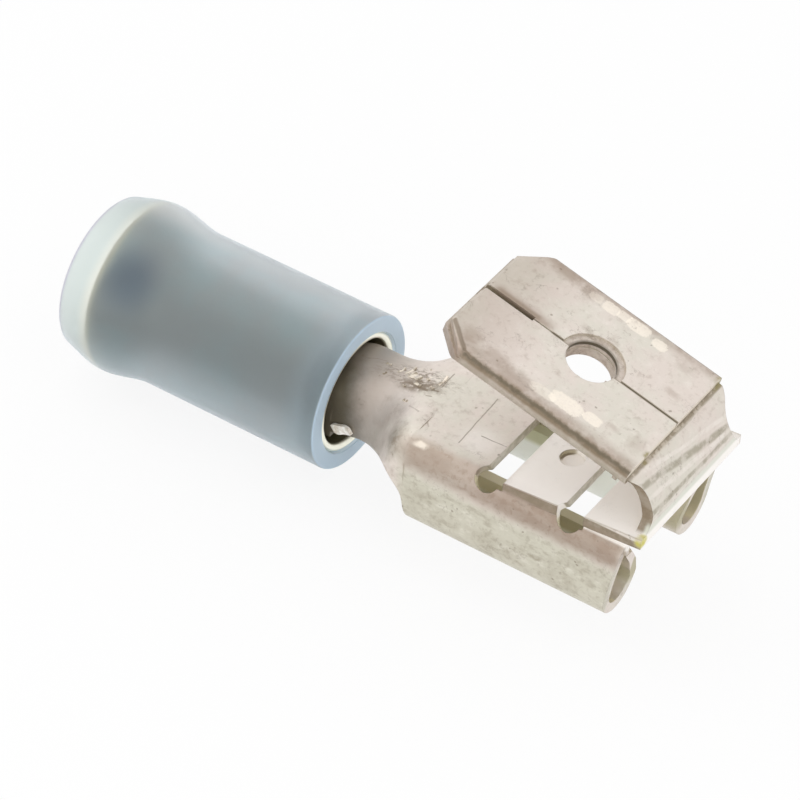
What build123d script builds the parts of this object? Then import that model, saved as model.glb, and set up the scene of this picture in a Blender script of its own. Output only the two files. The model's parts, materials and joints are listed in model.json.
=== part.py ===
import os
from math import cos, radians, sin, tan

from build123d import *

# A piggyback push-on terminal: a crimp barrel in its metal support tube and nylon
# sleeve, a rolled receptacle, and a male tab folded back over the receptacle.
# The origin is on the barrel's axis at the wire end of the sleeve. +X runs to the
# mating end, +Z to the side of the tab.

# Nylon sleeve
sleeve_length = 11.12
sleeve_radius = 3.00
sleeve_edge = 0.10
bell_radius = 3.32
bell_start = 3.50  # where the straight body begins to swell
bell_crest = 1.55
rim_radius = 2.98
rim_bore = 2.84
rim_edge = 0.06

# Metal support tube between the barrel and the sleeve
liner_wall = 0.28
liner_start = 1.25
liner_end = 11.06
liner_mouth_bore = 2.06
liner_mouth_depth = 1.15
liner_mouth_lip = 0.25
liner_bell_bore = 2.56
liner_bell_end = 4.40

# Brass sheet and the crimp barrel rolled from it
sheet = 0.40
barrel_radius = 1.65
barrel_start = 4.60
barrel_end = 11.00
barrel_seam = 0.08

# Receptacle: a plate whose long edges are rolled down and under
plate_top = 2.40
plate_half_width = 3.36
corner_radius = 0.75
roll_radius = 1.08
roll_y = 2.46
roll_z = -0.42
lip_top = 0.72
receptacle_start = 15.20
roll_start = 15.45
roll_end = 23.44
roll_end_lean = 0.54  # the rolls' front ends lean forwards towards the plate
lead_in_length = 1.30  # the lips lean outwards here, to guide the mating tab
lead_in_bend = (1.80, 0.38)  # y and z of the leaning lip at the roll's front end
lead_in_crest = (2.55, 1.32)
roll_end_z = -1.60  # below the rolls
roll_end_curve = [(0.12, 0), (0.30, 1.10)]  # x past the rolls' lower front corner, and z

# Neck: an arch that widens from the barrel's upper half to the receptacle
neck_start = 10.40
neck_foot = -1.0
neck_thinning = 0.04  # the sheet is drawn a little thinner in the neck
neck_rings = [
    # x, the arch's side as (y, z) from the knee up, and the height of its crown
    (12.20, [(1.78, 0.2), (1.50, 1.12), (1.00, 1.60), (0.45, 1.79)], 1.82),
    (13.50, [(2.55, 0.5), (2.10, 1.28), (1.40, 1.82), (0.65, 2.07)], 2.12),
    (14.40, [(3.36, 1.1), (3.02, 1.85), (2.30, 2.22), (1.10, 2.34)], 2.36),
]
neck_lower_edge = [
    # x and z, from under the barrel's front end up the neck and down to the rolls
    (barrel_end, -0.75),
    (12.60, -0.12),
    (13.50, 0.36),
    (14.20, 0.72),
    (14.70, 0.50),
    (15.10, 0.10),
    (15.32, -0.70),
    (roll_start, roll_end_z),
]

# Windows, and the part of the plate that is sheared from the rolls and lifted
window_1 = (18.17, 19.08)
window_2 = (21.40, 22.28)
window_foot = 1.80  # the windows are cut down to here through the corner bends
notch_radius = 0.50
notch_centres = (18.42, 21.72)
plate_lift_angle = 4.4
shear_y = 3.22
shear_neck = 0.16  # width of the metal that still joins the plate to a roll
detent_x = 20.34
detent_y = -0.88
detent_radius = 0.45
detent_depth = 0.16

# Web that stands up from the front of the plate
web_outer = 24.52
web_half_width = 3.05
web_waist = 2.60
web_waist_z = 4.15
web_knee_z = 3.37  # below the knee the web is upright, above it it leans back
web_shoulder_x = 23.73
web_bend_radius = 0.55

# Male tab, two layers thick, sloping up from the web towards the sleeve
tab_thickness = 2 * sheet
tab_half_width = 3.15
tab_tip_x = 15.82
tab_tip_z = 7.42
tab_slope = 14.86
flap_length = 8.11
tip_chamfer_along = 1.04
tip_chamfer_across = 1.08
tip_bevel = 0.12
tip_margin = 0.12  # the bottom layer stands out this far past the flaps at the tip
fold_radius = 0.38
tab_hole_from_tip = 4.51
tab_hole_radius = 0.94
coin_width = 0.28
coin_depth = 0.10
seam_wide = 0.22
seam_wide_length = 2.05
seam_narrow = 0.05
layer_gap = 0.03

# Worked out
wall_y = roll_y + roll_radius
lip_y = roll_y - roll_radius
wall_mid = wall_y - sheet / 2
lip_mid = lip_y + sheet / 2
plate_mid = plate_top - sheet / 2
corner_mid = corner_radius - sheet / 2
web_mid = web_outer - sheet / 2
slope = radians(tab_slope)
lift_per_mm = tan(radians(plate_lift_angle))
roll_length_top = roll_end + roll_end_lean
lead_in_start = roll_end - lead_in_length
reach = 2 * wall_y  # wider than the part, for cuts right across it
tab_plane = Plane(
    origin=(tab_tip_x, 0, tab_tip_z),
    x_dir=(cos(slope), 0, -sin(slope)),
    z_dir=(sin(slope), 0, cos(slope)),
)  # on the tab's top face: x runs down the slope from the tip, z is out of the face


def plate_height(x):
    # top of the plate at x
    return plate_top + max(0, x - window_1[0]) * lift_per_mm


def box_between(low, high, mode=Mode.ADD):
    # a box from its lowest to its highest corner
    centre = [(a + b) / 2 for a, b in zip(low, high)]
    size = [b - a for a, b in zip(low, high)]
    with Locations(Vector(*centre)):
        Box(*size, mode=mode)


def arch_section(x, side, top, inset=0):
    # one solid section of the neck's arch in the plane at x. side holds (y, z) points
    # from the knee up; each is moved in by the inset, square to the arch
    climb = [(side[0][0], neck_foot)] + side + [(0, top)]
    moved = [(climb[0][0] - inset, neck_foot)]
    for below, here, above in zip(climb, climb[1:], climb[2:]):
        along = (Vector(*above) - Vector(*below)).normalized()
        moved.append((here[0] - inset * along.Y, here[1] + inset * along.X))
    mirrored = [(-y, z) for y, z in reversed(moved)]
    with BuildSketch(Plane.YZ.offset(x)) as section:
        with BuildLine():
            Spline(*moved, (0, top - inset), *mirrored, tangents=((0, 1), (0, -1)))
            Line(moved[0], mirrored[-1])
        make_face()
    return section.sketch


def arc_points(centre, radius, angles):
    # (y, z) points on an arc, by their angles above the horizontal
    return [
        (centre[0] + radius * cos(radians(angle)), centre[1] + radius * sin(radians(angle)))
        for angle in angles
    ]


def neck_sections(inset=0):
    # from inside the barrel's wall to inside the receptacle's sheet
    barrel = barrel_radius - neck_thinning / 2
    round_side = arc_points((0, 0), barrel, (0, 35, 60, 78))
    plate = plate_top - neck_thinning / 2
    bend = corner_radius - neck_thinning / 2
    bend_centre = (wall_y - corner_radius, plate_top - corner_radius)
    square_side = arc_points(bend_centre, bend, (0, 40, 85)) + [(1.40, plate)]
    sections = [arch_section(neck_start, round_side, barrel, inset)]
    for x, side, crown in neck_rings:
        sections.append(arch_section(x, side, crown, inset))
    sections.append(arch_section(receptacle_start + 0.05, square_side, plate, inset))
    return sections


def lip_level(side, front_y, z):
    # level section of a leaning lip, which is front_y out from the middle at its front
    with BuildSketch(Plane.XY.offset(z)) as section:
        with BuildLine():
            Polyline(
                (lead_in_start, side * lip_y),
                (roll_length_top, side * front_y),
                (roll_length_top, side * (front_y + sheet)),
                (lead_in_start, side * (lip_y + sheet)),
                close=True,
            )
        make_face()
    return section.sketch


def in_tab(along, depth):
    # the (x, z) of a point of the tab's mid-section, down the slope and into the tab
    point = tab_plane.from_local_coords(Vector(along, 0, -depth))
    return (point.X, point.Z)


# ---- nylon sleeve and support tube ----

liner_outer_mouth = liner_mouth_bore + liner_wall
liner_outer_waist = barrel_radius + liner_wall
liner_outer_bell = liner_bell_bore + liner_wall
mouth_waist_x = liner_end - liner_mouth_depth


def liner_curve(mouth, waist, bell):
    # the tube's mouth, waist and bell, from the front to the wire end
    lip = (liner_end - liner_mouth_lip, mouth - 0.04)
    Line((liner_end, mouth), lip)
    Spline(lip, (mouth_waist_x, waist), tangents=((-1, -0.35), (-1, 0)))
    Line((mouth_waist_x, waist), (liner_bell_end, waist))
    Spline((liner_bell_end, waist), (liner_start, bell), tangents=((-1, 0), (-1, 0.12)))


with BuildPart() as support_sleeve:
    with BuildSketch(Plane.XZ):
        with BuildLine():
            liner_curve(liner_outer_mouth, liner_outer_waist, liner_outer_bell)
            Line((liner_start, liner_outer_bell), (liner_start, liner_bell_bore))
            liner_curve(liner_mouth_bore, barrel_radius, liner_bell_bore)
            Line((liner_end, liner_mouth_bore), (liner_end, liner_outer_mouth))
        make_face()
    revolve(axis=Axis.X)

with BuildPart() as insulation_sleeve:
    with BuildSketch(Plane.XZ):
        with BuildLine():
            front_edge = (sleeve_length, sleeve_radius - sleeve_edge)
            side_edge = (sleeve_length - sleeve_edge, sleeve_radius)
            Line((sleeve_length, liner_outer_mouth), front_edge)
            RadiusArc(front_edge, side_edge, -sleeve_edge)
            Line(side_edge, (bell_start, sleeve_radius))
            Spline(
                (bell_start, sleeve_radius),
                (bell_crest, bell_radius),
                tangents=((-1, 0), (-1, 0)),
            )
            Spline(
                (bell_crest, bell_radius),
                (rim_edge, rim_radius),
                tangents=((-1, 0), (-0.9, -0.25)),
            )
            Line((rim_edge, rim_radius), (0, rim_radius - rim_edge))
            Line((0, rim_radius - rim_edge), (0, rim_bore))
            Line((0, rim_bore), (liner_start, liner_outer_bell))
            liner_curve(liner_outer_mouth, liner_outer_waist, liner_outer_bell)
            Line((liner_end, liner_outer_mouth), (sleeve_length, liner_outer_mouth))
        make_face()
    revolve(axis=Axis.X)

# ---- terminal body, folded from one sheet ----

# The male tab: a bottom layer whose sides are folded up and over, to meet at a seam
with BuildPart() as folded_tab:
    for top, foot, margin in ((0, -sheet, 0), (-sheet, -tab_thickness, tip_margin)):
        with BuildSketch(tab_plane.offset(foot)):
            with BuildLine():
                tip_half = tab_half_width - tip_chamfer_across
                Polyline(
                    (-margin, -tip_half - margin / 2),
                    (tip_chamfer_along - margin / 2, -tab_half_width),
                    (flap_length, -tab_half_width),
                    (flap_length, tab_half_width),
                    (tip_chamfer_along - margin / 2, tab_half_width),
                    (-margin, tip_half + margin / 2),
                    close=True,
                )
            make_face()
        extrude(amount=top - foot)
    long_edges = folded_tab.edges().filter_by(
        lambda edge: edge.length > 6 and abs(edge.center().Y) > tab_half_width - 0.1
    )
    fillet(long_edges, radius=fold_radius)
    top_face = folded_tab.faces().sort_by(Axis(tab_plane.origin, tab_plane.z_dir))[-1]
    tip_edges = top_face.edges().filter_by(
        lambda edge: tab_plane.to_local_coords(edge.center()).X < tip_chamfer_along
    )
    chamfer(tip_edges, length=tip_bevel)
    # Gap between the layers, and the seam where the two flaps meet
    with BuildSketch(tab_plane.offset(-sheet - layer_gap / 2)):
        with Locations((flap_length / 2, 0)):
            Rectangle(flap_length + 2, 2 * (tab_half_width - sheet))
    extrude(amount=layer_gap, mode=Mode.SUBTRACT)
    with BuildSketch(tab_plane):
        with Locations((seam_wide_length / 2, 0)):
            Rectangle(seam_wide_length, seam_wide)
        with Locations((flap_length / 2, 0)):
            Rectangle(flap_length + 2, seam_narrow)
    extrude(amount=-sheet, mode=Mode.SUBTRACT)
    # Locking hole, coined on the far flap
    with BuildSketch(tab_plane):
        with Locations((tab_hole_from_tip, 0)):
            Circle(tab_hole_radius + coin_width)
        with Locations((tab_hole_from_tip, -reach / 2)):
            Rectangle(reach, reach, mode=Mode.SUBTRACT)
    extrude(amount=-coin_depth, mode=Mode.SUBTRACT)
    with BuildSketch(tab_plane):
        with Locations((tab_hole_from_tip, 0)):
            Circle(tab_hole_radius)
    extrude(amount=-tab_thickness, mode=Mode.SUBTRACT)

# The neck: an arch that grows from the barrel's upper half to the receptacle
with BuildPart() as neck:
    loft(sections=neck_sections())
    loft(sections=neck_sections(inset=sheet - neck_thinning), mode=Mode.SUBTRACT)

with BuildPart() as terminal_body:
    # Crimp barrel, with its butt seam underneath
    with BuildSketch(Plane.YZ.offset(barrel_start)):
        Circle(barrel_radius)
        Circle(barrel_radius - sheet, mode=Mode.SUBTRACT)
        with Locations((0, -barrel_radius)):
            Rectangle(barrel_seam, barrel_radius, mode=Mode.SUBTRACT)
    extrude(amount=barrel_end - barrel_start)

    add(neck.part)

    # Receptacle section: plate, corner bends, side walls, rolls and lips
    with BuildSketch(Plane.YZ.offset(receptacle_start)):
        with BuildLine():
            Line((0, plate_mid), (wall_mid - corner_mid, plate_mid))
            RadiusArc(
                (wall_mid - corner_mid, plate_mid),
                (wall_mid, plate_mid - corner_mid),
                corner_mid,
            )
            Line((wall_mid, plate_mid - corner_mid), (wall_mid, roll_z))
            RadiusArc((wall_mid, roll_z), (lip_mid, roll_z), roll_radius - sheet / 2)
            Line((lip_mid, roll_z), (lip_mid, lip_top))
        trace(line_width=sheet)
        mirror(about=Plane.YZ)
    extrude(amount=roll_length_top - receptacle_start)

    # Lead-in: towards the front the lips lean outwards
    for side in (-1, 1):
        box_between(
            (lead_in_start, min(side * lip_y, side * (lip_y + sheet)), roll_z),
            (roll_length_top, max(side * lip_y, side * (lip_y + sheet)), lip_top),
            mode=Mode.SUBTRACT,
        )
        levels = [(lip_y, roll_z), lead_in_bend, lead_in_crest]
        loft(sections=[lip_level(side, front_y, z) for front_y, z in levels], ruled=True)
    with BuildSketch(Plane.XZ):
        with BuildLine():
            crest_x = roll_end + roll_end_curve[-1][0]
            crest_z = lead_in_crest[1]
            Polyline(
                (lead_in_start, lip_top), (crest_x, crest_z), (lead_in_start, crest_z), close=True
            )
        make_face()
    extrude(amount=lead_in_crest[0] + sheet, both=True, mode=Mode.SUBTRACT)

    # Ends of the rolls and feet of the neck
    with BuildSketch(Plane.XZ):
        with BuildLine():
            Spline(*neck_lower_edge)
            Polyline(
                neck_lower_edge[-1],
                (roll_start, -reach),
                (barrel_end, -reach),
                neck_lower_edge[0],
            )
        make_face()
        with BuildLine():
            leaning = [(roll_end + ahead, z) for ahead, z in roll_end_curve]
            Spline((roll_end, roll_end_z), *leaning, (roll_length_top, plate_top))
            Polyline(
                (roll_length_top, plate_top),
                (roll_length_top + 1, plate_top),
                (roll_length_top + 1, roll_end_z),
                (roll_end, roll_end_z),
            )
        make_face()
    extrude(amount=reach, both=True, mode=Mode.SUBTRACT)

    # Front of the plate, sheared from the rolls and lifted
    box_between(
        (window_1[0], -shear_y, window_foot),
        (roll_length_top, shear_y, plate_top + 1),
        mode=Mode.SUBTRACT,
    )
    with BuildSketch(Plane.XZ):
        with BuildLine():
            Polyline(
                (window_1[0], plate_top),
                (web_outer, plate_height(web_outer)),
                (web_outer, plate_height(web_outer) - sheet),
                (window_1[0], plate_top - sheet),
                close=True,
            )
        make_face()
    extrude(amount=plate_half_width, both=True)
    # thin necks of sheared metal keep the bridge and the front strip on the rolls
    for start, end in ((window_1[1], window_2[0]), (window_2[1], roll_length_top)):
        for side in (-1, 1):
            near, far = sorted((side * (shear_y - shear_neck), side * (shear_y + 0.02)))
            box_between(
                (start, near, plate_top - 1.5 * sheet),
                (end, far, plate_height(end) - sheet + 0.05),
            )

    # Windows, with rounded ends punched through the corner bends
    for window, notch_x in zip((window_1, window_2), notch_centres):
        box_between(
            (window[0], -plate_half_width, window_foot),
            (window[1], plate_half_width, plate_top + 1),
            mode=Mode.SUBTRACT,
        )
        for side in (-1, 1):
            bend_y = side * (wall_y - corner_radius)
            bend_z = plate_top - corner_radius
            notch = Plane(
                origin=(notch_x, bend_y, bend_z), x_dir=(1, 0, 0), z_dir=(0, side, 1.5)
            )
            with BuildSketch(notch):
                Circle(notch_radius)
            extrude(amount=corner_radius + 0.5, mode=Mode.SUBTRACT)

    # Round detent pressed into the bridge
    detent_top = plate_height(detent_x)
    with Locations((detent_x, detent_y, detent_top - sheet - detent_depth / 2)):
        Cylinder(detent_radius - 0.05, sheet)
    with Locations((detent_x, detent_y, detent_top)):
        Cylinder(detent_radius, 2 * detent_depth, mode=Mode.SUBTRACT)

    # Web, and the bends that turn it into the tab's bottom layer
    with BuildSketch(Plane.XZ):
        with BuildLine():
            bend_start = in_tab(flap_length - 0.5, 1.5 * sheet)
            fall = (web_shoulder_x - bend_start[0]) * tan(slope)
            FilletPolyline(
                bend_start,
                (web_shoulder_x, bend_start[1] - fall),
                (web_mid, web_knee_z),
                (web_mid, plate_height(web_outer) - sheet / 2),
                radius=web_bend_radius,
            )
        trace(line_width=sheet)
    extrude(amount=web_half_width, both=True)
    with BuildSketch(Plane.YZ.offset(web_shoulder_x - 0.6)):
        with BuildLine():
            waist_top = (web_half_width, bend_start[1])
            waist_foot = (web_half_width, plate_height(web_outer))
            ThreePointArc(waist_top, (web_waist, web_waist_z), waist_foot)
            Polyline(
                waist_foot,
                (reach, waist_foot[1]),
                (reach, waist_top[1]),
                waist_top,
            )
        make_face()
        mirror(about=Plane.YZ)
    extrude(amount=2, mode=Mode.SUBTRACT)
    add(folded_tab.part)

terminal_body.part.label = "terminal_body"
support_sleeve.part.label = "support_sleeve"
insulation_sleeve.part.label = "insulation_sleeve"

os.makedirs("parts", exist_ok=True)
export_step(terminal_body.part, "parts/terminal_body.step")
export_step(support_sleeve.part, "parts/support_sleeve.step")
export_step(insulation_sleeve.part, "parts/insulation_sleeve.step")
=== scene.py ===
import json
import math

import bmesh
import bpy
from mathutils import Matrix, Quaternion, Vector

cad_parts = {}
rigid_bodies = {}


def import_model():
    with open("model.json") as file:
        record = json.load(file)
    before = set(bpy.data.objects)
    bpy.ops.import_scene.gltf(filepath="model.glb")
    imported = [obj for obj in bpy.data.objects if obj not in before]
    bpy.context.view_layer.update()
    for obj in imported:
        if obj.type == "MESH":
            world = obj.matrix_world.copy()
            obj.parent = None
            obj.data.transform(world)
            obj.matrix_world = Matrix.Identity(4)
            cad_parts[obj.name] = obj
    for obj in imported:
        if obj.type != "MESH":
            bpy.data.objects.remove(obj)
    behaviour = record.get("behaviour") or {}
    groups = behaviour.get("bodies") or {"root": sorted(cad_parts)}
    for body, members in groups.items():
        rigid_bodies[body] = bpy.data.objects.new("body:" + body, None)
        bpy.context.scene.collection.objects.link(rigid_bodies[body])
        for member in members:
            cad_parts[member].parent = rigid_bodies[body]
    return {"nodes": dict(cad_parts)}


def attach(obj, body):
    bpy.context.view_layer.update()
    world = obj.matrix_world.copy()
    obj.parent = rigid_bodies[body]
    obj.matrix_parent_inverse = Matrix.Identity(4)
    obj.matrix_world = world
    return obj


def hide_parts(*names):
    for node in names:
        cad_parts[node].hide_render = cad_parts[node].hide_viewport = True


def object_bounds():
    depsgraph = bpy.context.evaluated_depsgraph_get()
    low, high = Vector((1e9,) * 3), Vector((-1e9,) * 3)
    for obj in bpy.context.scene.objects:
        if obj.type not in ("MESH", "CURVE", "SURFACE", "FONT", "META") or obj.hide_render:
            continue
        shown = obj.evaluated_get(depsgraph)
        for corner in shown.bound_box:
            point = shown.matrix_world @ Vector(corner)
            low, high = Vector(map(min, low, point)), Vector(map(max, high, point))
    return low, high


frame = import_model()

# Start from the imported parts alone
for leftover in [o for o in bpy.data.objects if not o.name.startswith("body:")]:
    if leftover.name not in frame["nodes"]:
        bpy.data.objects.remove(leftover)
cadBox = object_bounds()
mm = 0.001
bpy.context.scene.view_settings.view_transform = "Standard"


cameraSet = {
    "aim": (12.81 * mm, 0, 0.57 * mm),
    "distance": 148.44 * mm,
    "azimuth": 30.35,
    "elevation": 41.16,
    "roll": 4.62,
    "lens": 189.05,
}


def placeCamera(settings):
    azimuth = math.radians(settings["azimuth"])
    elevation = math.radians(settings["elevation"])
    back = Vector((
        math.sin(azimuth) * math.cos(elevation),
        -math.cos(azimuth) * math.cos(elevation),
        math.sin(elevation),
    ))
    data = bpy.data.cameras.new("studioCamera")
    data.lens = settings["lens"]
    data.clip_start = 1 * mm
    data.clip_end = 10
    camera = bpy.data.objects.new("studioCamera", data)
    bpy.context.collection.objects.link(camera)
    camera.location = Vector(settings["aim"]) + back * settings["distance"]
    camera.rotation_mode = "QUATERNION"
    roll = Quaternion((0, 0, 1), math.radians(settings["roll"]))
    camera.rotation_quaternion = (-back).to_track_quat("-Z", "Y") @ roll
    bpy.context.scene.camera = camera
    return back


towardsCamera = placeCamera(cameraSet)
print("camera placed")


class Wire:
    # a socket that can be used in sums: each operator adds its Math node
    def __init__(self, graph, socket):
        self.graph = graph
        self.socket = socket

    def maths(self, operation, first, second=0.0):
        return self.graph.add("ShaderNodeMath", {"operation": operation}, {0: first, 1: second})

    def __add__(self, other):
        return self.maths("ADD", self, other)

    def __radd__(self, other):
        return self.maths("ADD", other, self)

    def __sub__(self, other):
        return self.maths("SUBTRACT", self, other)

    def __rsub__(self, other):
        return self.maths("SUBTRACT", other, self)

    def __mul__(self, other):
        return self.maths("MULTIPLY", self, other)

    def __rmul__(self, other):
        return self.maths("MULTIPLY", other, self)

    def __truediv__(self, other):
        return self.maths("DIVIDE", self, other)

    def __pow__(self, other):
        return self.maths("POWER", self, other)

    def __abs__(self):
        return self.maths("ABSOLUTE", self)


class Graph:
    # the nodes of one material or world
    def __init__(self, tree):
        self.tree = tree
        self.tree.nodes.clear()

    def add(self, kind, settings=None, sockets=None, output=0):
        node = self.tree.nodes.new(kind)
        for key, value in (settings or {}).items():
            setattr(node, key, value)
        for key, value in (sockets or {}).items():
            target = self.find(node.inputs, key)
            if isinstance(value, Wire):
                self.tree.links.new(value.socket, target)
            elif hasattr(value, "__len__") and len(value) == 3 and target.type == "RGBA":
                target.default_value = (*value, 1)
            else:
                target.default_value = value
        return Wire(self, self.find(node.outputs, output)) if node.outputs else None

    def find(self, group, key):
        # a socket by its number, its identifier or its name
        if isinstance(key, int):
            return group[key]
        for socket in group:
            if socket.identifier == key:
                return socket
        return group[key]

    def step(self, value, start, end):
        # 0 before start, 1 past end, smooth between
        return self.add(
            "ShaderNodeMapRange",
            {"interpolation_type": "SMOOTHSTEP"},
            {"Value": value, "From Min": start, "From Max": end},
        )

    def tint(self, share, first, second):
        return self.add(
            "ShaderNodeMix",
            {"data_type": "RGBA"},
            {"Factor_Float": share, "A_Color": first, "B_Color": second},
            "Result_Color",
        )

    def vector(self, operation, first, second, output=0):
        return self.add(
            "ShaderNodeVectorMath", {"operation": operation}, {0: first, 1: second}, output
        )

    def scale(self, vector, factor):
        return self.add(
            "ShaderNodeVectorMath", {"operation": "SCALE"}, {0: vector, "Scale": factor}
        )

    def axes(self, vector, names="XYZ"):
        return [self.add("ShaderNodeSeparateXYZ", {}, {0: vector}, axis) for axis in names]

    def millimetres(self):
        # the place on the piece, in mm
        coords = self.add("ShaderNodeTexCoord", {}, {}, "Object")
        return self.add("ShaderNodeMapping", {}, {"Vector": coords, "Scale": (1 / mm,) * 3})

    def blot(self, place, middle, size, edge=0.3):
        # 1 in an egg-shaped spot with the given half lengths, 0 outside
        apart = self.vector("DIVIDE", self.vector("SUBTRACT", place, middle), size)
        reach = self.vector("LENGTH", apart, (0, 0, 0), "Value")
        return self.step(reach, 1 + edge, 1 - edge)

    def stroke(self, place, start, end, width):
        # 1 along the line from start to end, with a soft edge at the half width
        run = Vector(end) - Vector(start)
        apart = self.vector("SUBTRACT", place, start)
        share = self.vector("DOT_PRODUCT", apart, tuple(run / run.length_squared), "Value")
        share = self.add("ShaderNodeClamp", {}, {"Value": share})
        nearest = self.scale(tuple(run), share)
        return self.step(self.vector("DISTANCE", apart, nearest, "Value"), width, width * 0.35)

    def noise(self, place, scale, detail=3.0, roughness=0.55):
        return self.add(
            "ShaderNodeTexNoise",
            {},
            {"Vector": place, "Scale": scale, "Detail": detail, "Roughness": roughness},
        )


def newMaterial(name):
    material = bpy.data.materials.new(name)
    material.use_nodes = True
    return material, Graph(material.node_tree)


studioSet = {
    "floorSize": 2.0,
    "shadowShare": 0.12,  # how much of the floor's own shade is kept
    "paint": (0.86, 0.86, 0.86),
    "dimPatch": 0.35,  # the sky is darker round the camera
    "patchEdge": (0.70, 0.985),  # cosines of the dim patch's outer and inner rim
}


def buildStudio(settings):
    bpy.ops.object.select_all(action="DESELECT")
    bpy.ops.mesh.primitive_plane_add(
        size=settings["floorSize"], location=(cadBox[1].x / 2, 0, cadBox[0].z)
    )
    floor = bpy.context.object
    floor.name = "studioFloor"
    material, g = newMaterial("paleFloor")
    path = {
        name: g.add("ShaderNodeLightPath", {}, {}, f"Is {name} Ray")
        for name in ("Camera", "Glossy", "Transmission")
    }
    seen = g.step(path["Camera"] + path["Glossy"] + path["Transmission"], 0.0, 1.0)
    paint = g.add("ShaderNodeBsdfDiffuse", {}, {"Color": settings["paint"]})
    white = g.add("ShaderNodeEmission", {}, {"Color": (1, 1, 1), "Strength": 1.0})
    share = seen * (1 - settings["shadowShare"])
    surface = g.add("ShaderNodeMixShader", {}, {0: share, 1: paint, 2: white})
    g.add("ShaderNodeOutputMaterial", {}, {"Surface": surface})
    floor.data.materials.append(material)

    world = bpy.data.worlds.new("whiteTent")
    world.use_nodes = True
    bpy.context.scene.world = world
    w = Graph(world.node_tree)
    direction = w.add("ShaderNodeTexCoord", {}, {}, "Generated")
    facing = w.vector("DOT_PRODUCT", direction, tuple(towardsCamera), "Value")
    patch = w.step(facing, *settings["patchEdge"])
    camera = w.add("ShaderNodeLightPath", {}, {}, "Is Camera Ray")
    through = w.add("ShaderNodeLightPath", {}, {}, "Is Transmission Ray")
    seen = w.step(camera + through, 0.0, 1.0)
    strength = (1 - patch * settings["dimPatch"]) * (1 - seen) + seen
    sky = w.add("ShaderNodeBackground", {}, {"Color": (1, 1, 1), "Strength": strength})
    w.add("ShaderNodeOutputWorld", {}, {"Surface": sky})


lampSet = {
    # name: place from the point that the camera aims at, size in mm, power in watts
    "topLamp": ((-90, -20, 160), 200, 0.05),
    "leftLamp": ((-140, -60, 50), 200, 0.03),
    "lowLamp": ((70, -150, 40), 200, 0.10),
}


def placeLamps(settings):
    centre = Vector(cameraSet["aim"])
    for name, (spot, size, power) in settings.items():
        data = bpy.data.lights.new(name, "AREA")
        data.shape = "DISK"
        data.size = size * mm
        data.energy = power
        lamp = bpy.data.objects.new(name, data)
        bpy.context.collection.objects.link(lamp)
        lamp.location = centre + Vector(spot) * mm
        lamp.rotation_euler = (centre - lamp.location).to_track_quat("-Z", "Y").to_euler()


buildStudio(studioSet)
placeLamps(lampSet)
print("studio lit")


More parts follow.
